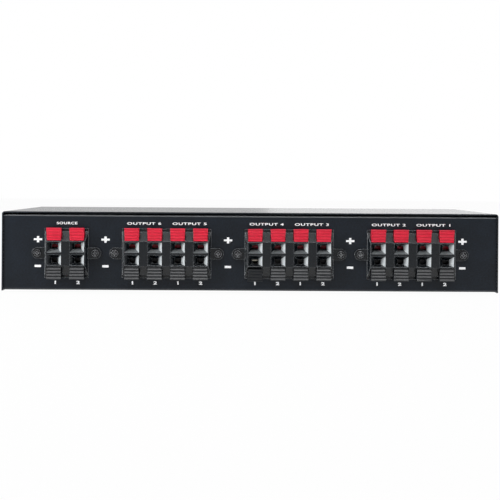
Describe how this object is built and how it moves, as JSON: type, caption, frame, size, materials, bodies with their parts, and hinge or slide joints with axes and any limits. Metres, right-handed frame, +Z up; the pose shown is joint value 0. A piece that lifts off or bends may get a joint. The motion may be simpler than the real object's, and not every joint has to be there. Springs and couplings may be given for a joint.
{
  "type": "speaker selector switch",
  "caption": "Low black steel box with rows of red and black push terminals for loudspeaker wires on one long face and push buttons on the other.",
  "frame": {"origin": "centre of the footprint, on the floor under the feet", "axes": "-Y points out of the terminal side shown in the picture, +X to the right of someone who faces that side, +Z up"},
  "size_m": [0.35, 0.1543, 0.0582],
  "materials": {
    "case_paint": "fine textured powder coat",
    "front_paint": "satin",
    "block_black": "moulded satin",
    "lever_red": "moulded satin",
    "lever_black": "moulded satin",
    "plate_black": "moulded satin",
    "contact_metal": "tinned",
    "screw_black": "black oxide",
    "board_green": "solder resist",
    "cable_grey": "ribbon insulation",
    "switch_body": "moulded",
    "load_ceramic": "cement filled ceramic",
    "button_black": "satin",
    "foot_rubber": "matt",
    "post_metal": "nickel plated"
  },
  "bodies": {
    "case": {"chassis": "case_paint", "top_cover": "case_paint", "front_panel": "front_paint", "feet": "foot_rubber", "terminal_screws": "screw_black", "terminal_board": "board_green", "switch_board": "board_green", "standoffs": "post_metal", "ribbon_cables": "cable_grey", "switch_bodies": "switch_body", "load_resistors": "load_ceramic", "input_housing": "block_black", "input_back_plate": "plate_black", "input_contacts": "contact_metal", "upper_pair_housing": "block_black", "upper_pair_back_plate": "plate_black", "upper_pair_contacts": "contact_metal", "middle_pair_housing": "block_black", "middle_pair_back_plate": "plate_black", "middle_pair_contacts": "contact_metal", "lower_pair_housing": "block_black", "lower_pair_back_plate": "plate_black", "lower_pair_contacts": "contact_metal"},
    "lever_in_left_plus": {"lever_in_left_plus": "lever_red"},
    "lever_in_left_minus": {"lever_in_left_minus": "lever_black"},
    "lever_in_right_plus": {"lever_in_right_plus": "lever_red"},
    "lever_in_right_minus": {"lever_in_right_minus": "lever_black"},
    "lever_six_left_plus": {"lever_six_left_plus": "lever_red"},
    "lever_six_left_minus": {"lever_six_left_minus": "lever_black"},
    "lever_six_right_plus": {"lever_six_right_plus": "lever_red"},
    "lever_six_right_minus": {"lever_six_right_minus": "lever_black"},
    "lever_five_left_plus": {"lever_five_left_plus": "lever_red"},
    "lever_five_left_minus": {"lever_five_left_minus": "lever_black"},
    "lever_five_right_plus": {"lever_five_right_plus": "lever_red"},
    "lever_five_right_minus": {"lever_five_right_minus": "lever_black"},
    "lever_four_left_plus": {"lever_four_left_plus": "lever_red"},
    "lever_four_left_minus": {"lever_four_left_minus": "lever_black"},
    "lever_four_right_plus": {"lever_four_right_plus": "lever_red"},
    "lever_four_right_minus": {"lever_four_right_minus": "lever_black"},
    "lever_three_left_plus": {"lever_three_left_plus": "lever_red"},
    "lever_three_left_minus": {"lever_three_left_minus": "lever_black"},
    "lever_three_right_plus": {"lever_three_right_plus": "lever_red"},
    "lever_three_right_minus": {"lever_three_right_minus": "lever_black"},
    "lever_two_left_plus": {"lever_two_left_plus": "lever_red"},
    "lever_two_left_minus": {"lever_two_left_minus": "lever_black"},
    "lever_two_right_plus": {"lever_two_right_plus": "lever_red"},
    "lever_two_right_minus": {"lever_two_right_minus": "lever_black"},
    "lever_one_left_plus": {"lever_one_left_plus": "lever_red"},
    "lever_one_left_minus": {"lever_one_left_minus": "lever_black"},
    "lever_one_right_plus": {"lever_one_right_plus": "lever_red"},
    "lever_one_right_minus": {"lever_one_right_minus": "lever_black"},
    "button_one": {"button_one": "button_black"},
    "button_two": {"button_two": "button_black"},
    "button_three": {"button_three": "button_black"},
    "button_four": {"button_four": "button_black"},
    "button_five": {"button_five": "button_black"},
    "button_six": {"button_six": "button_black"},
    "button_protect": {"button_protect": "button_black"}
  },
  "joints": [
    {"name": "lever_in_left_plus_press", "type": "hinge", "parent": "case", "child": "lever_in_left_plus", "pos_m": [-0.13745, -0.072, 0.0397], "axis": [-1, 0, 0], "range_deg": [0, 20], "stiffness_Nm_per_rad": 0.01, "springref_deg": -5.16},
    {"name": "lever_in_left_minus_press", "type": "hinge", "parent": "case", "child": "lever_in_left_minus", "pos_m": [-0.13745, -0.072, 0.0185], "axis": [1, 0, 0], "range_deg": [0, 20], "stiffness_Nm_per_rad": 0.01, "springref_deg": -5.16},
    {"name": "lever_in_right_plus_press", "type": "hinge", "parent": "case", "child": "lever_in_right_plus", "pos_m": [-0.12145, -0.072, 0.0397], "axis": [-1, 0, 0], "range_deg": [0, 20], "stiffness_Nm_per_rad": 0.01, "springref_deg": -5.16},
    {"name": "lever_in_right_minus_press", "type": "hinge", "parent": "case", "child": "lever_in_right_minus", "pos_m": [-0.12145, -0.072, 0.0185], "axis": [1, 0, 0], "range_deg": [0, 20], "stiffness_Nm_per_rad": 0.01, "springref_deg": -5.16},
    {"name": "lever_six_left_plus_press", "type": "hinge", "parent": "case", "child": "lever_six_left_plus", "pos_m": [-0.08315, -0.072, 0.0397], "axis": [-1, 0, 0], "range_deg": [0, 20], "stiffness_Nm_per_rad": 0.01, "springref_deg": -5.16},
    {"name": "lever_six_left_minus_press", "type": "hinge", "parent": "case", "child": "lever_six_left_minus", "pos_m": [-0.08315, -0.072, 0.0185], "axis": [1, 0, 0], "range_deg": [0, 20], "stiffness_Nm_per_rad": 0.01, "springref_deg": -5.16},
    {"name": "lever_six_right_plus_press", "type": "hinge", "parent": "case", "child": "lever_six_right_plus", "pos_m": [-0.06715, -0.072, 0.0397], "axis": [-1, 0, 0], "range_deg": [0, 20], "stiffness_Nm_per_rad": 0.01, "springref_deg": -5.16},
    {"name": "lever_six_right_minus_press", "type": "hinge", "parent": "case", "child": "lever_six_right_minus", "pos_m": [-0.06715, -0.072, 0.0185], "axis": [1, 0, 0], "range_deg": [0, 20], "stiffness_Nm_per_rad": 0.01, "springref_deg": -5.16},
    {"name": "lever_five_left_plus_press", "type": "hinge", "parent": "case", "child": "lever_five_left_plus", "pos_m": [-0.05115, -0.072, 0.0397], "axis": [-1, 0, 0], "range_deg": [0, 20], "stiffness_Nm_per_rad": 0.01, "springref_deg": -5.16},
    {"name": "lever_five_left_minus_press", "type": "hinge", "parent": "case", "child": "lever_five_left_minus", "pos_m": [-0.05115, -0.072, 0.0185], "axis": [1, 0, 0], "range_deg": [0, 20], "stiffness_Nm_per_rad": 0.01, "springref_deg": -5.16},
    {"name": "lever_five_right_plus_press", "type": "hinge", "parent": "case", "child": "lever_five_right_plus", "pos_m": [-0.03515, -0.072, 0.0397], "axis": [-1, 0, 0], "range_deg": [0, 20], "stiffness_Nm_per_rad": 0.01, "springref_deg": -5.16},
    {"name": "lever_five_right_minus_press", "type": "hinge", "parent": "case", "child": "lever_five_right_minus", "pos_m": [-0.03515, -0.072, 0.0185], "axis": [1, 0, 0], "range_deg": [0, 20], "stiffness_Nm_per_rad": 0.01, "springref_deg": -5.16},
    {"name": "lever_four_left_plus_press", "type": "hinge", "parent": "case", "child": "lever_four_left_plus", "pos_m": [0.00315, -0.072, 0.0397], "axis": [-1, 0, 0], "range_deg": [0, 20], "stiffness_Nm_per_rad": 0.01, "springref_deg": -5.16},
    {"name": "lever_four_left_minus_press", "type": "hinge", "parent": "case", "child": "lever_four_left_minus", "pos_m": [0.00315, -0.072, 0.0185], "axis": [1, 0, 0], "range_deg": [-20, 0]},
    {"name": "lever_four_right_plus_press", "type": "hinge", "parent": "case", "child": "lever_four_right_plus", "pos_m": [0.01915, -0.072, 0.0397], "axis": [-1, 0, 0], "range_deg": [0, 20], "stiffness_Nm_per_rad": 0.01, "springref_deg": -5.16},
    {"name": "lever_four_right_minus_press", "type": "hinge", "parent": "case", "child": "lever_four_right_minus", "pos_m": [0.01915, -0.072, 0.0185], "axis": [1, 0, 0], "range_deg": [0, 20], "stiffness_Nm_per_rad": 0.01, "springref_deg": -5.16},
    {"name": "lever_three_left_plus_press", "type": "hinge", "parent": "case", "child": "lever_three_left_plus", "pos_m": [0.03515, -0.072, 0.0397], "axis": [-1, 0, 0], "range_deg": [0, 20], "stiffness_Nm_per_rad": 0.01, "springref_deg": -5.16},
    {"name": "lever_three_left_minus_press", "type": "hinge", "parent": "case", "child": "lever_three_left_minus", "pos_m": [0.03515, -0.072, 0.0185], "axis": [1, 0, 0], "range_deg": [0, 20], "stiffness_Nm_per_rad": 0.01, "springref_deg": -5.16},
    {"name": "lever_three_right_plus_press", "type": "hinge", "parent": "case", "child": "lever_three_right_plus", "pos_m": [0.05115, -0.072, 0.0397], "axis": [-1, 0, 0], "range_deg": [0, 20], "stiffness_Nm_per_rad": 0.01, "springref_deg": -5.16},
    {"name": "lever_three_right_minus_press", "type": "hinge", "parent": "case", "child": "lever_three_right_minus", "pos_m": [0.05115, -0.072, 0.0185], "axis": [1, 0, 0], "range_deg": [0, 20], "stiffness_Nm_per_rad": 0.01, "springref_deg": -5.16},
    {"name": "lever_two_left_plus_press", "type": "hinge", "parent": "case", "child": "lever_two_left_plus", "pos_m": [0.08945, -0.072, 0.0397], "axis": [-1, 0, 0], "range_deg": [0, 20], "stiffness_Nm_per_rad": 0.01, "springref_deg": -5.16},
    {"name": "lever_two_left_minus_press", "type": "hinge", "parent": "case", "child": "lever_two_left_minus", "pos_m": [0.08945, -0.072, 0.0185], "axis": [1, 0, 0], "range_deg": [0, 20], "stiffness_Nm_per_rad": 0.01, "springref_deg": -5.16},
    {"name": "lever_two_right_plus_press", "type": "hinge", "parent": "case", "child": "lever_two_right_plus", "pos_m": [0.10545, -0.072, 0.0397], "axis": [-1, 0, 0], "range_deg": [0, 20], "stiffness_Nm_per_rad": 0.01, "springref_deg": -5.16},
    {"name": "lever_two_right_minus_press", "type": "hinge", "parent": "case", "child": "lever_two_right_minus", "pos_m": [0.10545, -0.072, 0.0185], "axis": [1, 0, 0], "range_deg": [0, 20], "stiffness_Nm_per_rad": 0.01, "springref_deg": -5.16},
    {"name": "lever_one_left_plus_press", "type": "hinge", "parent": "case", "child": "lever_one_left_plus", "pos_m": [0.12145, -0.072, 0.0397], "axis": [-1, 0, 0], "range_deg": [0, 20], "stiffness_Nm_per_rad": 0.01, "springref_deg": -5.16},
    {"name": "lever_one_left_minus_press", "type": "hinge", "parent": "case", "child": "lever_one_left_minus", "pos_m": [0.12145, -0.072, 0.0185], "axis": [1, 0, 0], "range_deg": [0, 20], "stiffness_Nm_per_rad": 0.01, "springref_deg": -5.16},
    {"name": "lever_one_right_plus_press", "type": "hinge", "parent": "case", "child": "lever_one_right_plus", "pos_m": [0.13745, -0.072, 0.0397], "axis": [-1, 0, 0], "range_deg": [0, 20], "stiffness_Nm_per_rad": 0.01, "springref_deg": -5.16},
    {"name": "lever_one_right_minus_press", "type": "hinge", "parent": "case", "child": "lever_one_right_minus", "pos_m": [0.13745, -0.072, 0.0185], "axis": [1, 0, 0], "range_deg": [0, 20], "stiffness_Nm_per_rad": 0.01, "springref_deg": -5.16},
    {"name": "button_one_push", "type": "slide", "parent": "case", "child": "button_one", "axis": [0, -1, 0], "range_m": [0, 0.0035]},
    {"name": "button_two_push", "type": "slide", "parent": "case", "child": "button_two", "axis": [0, -1, 0], "range_m": [0, 0.0035]},
    {"name": "button_three_push", "type": "slide", "parent": "case", "child": "button_three", "axis": [0, -1, 0], "range_m": [0, 0.0035]},
    {"name": "button_four_push", "type": "slide", "parent": "case", "child": "button_four", "axis": [0, -1, 0], "range_m": [0, 0.0035]},
    {"name": "button_five_push", "type": "slide", "parent": "case", "child": "button_five", "axis": [0, -1, 0], "range_m": [0, 0.0035]},
    {"name": "button_six_push", "type": "slide", "parent": "case", "child": "button_six", "axis": [0, -1, 0], "range_m": [0, 0.0035]},
    {"name": "button_protect_push", "type": "slide", "parent": "case", "child": "button_protect", "axis": [0, -1, 0], "range_m": [0, 0.0035]}
  ]
}
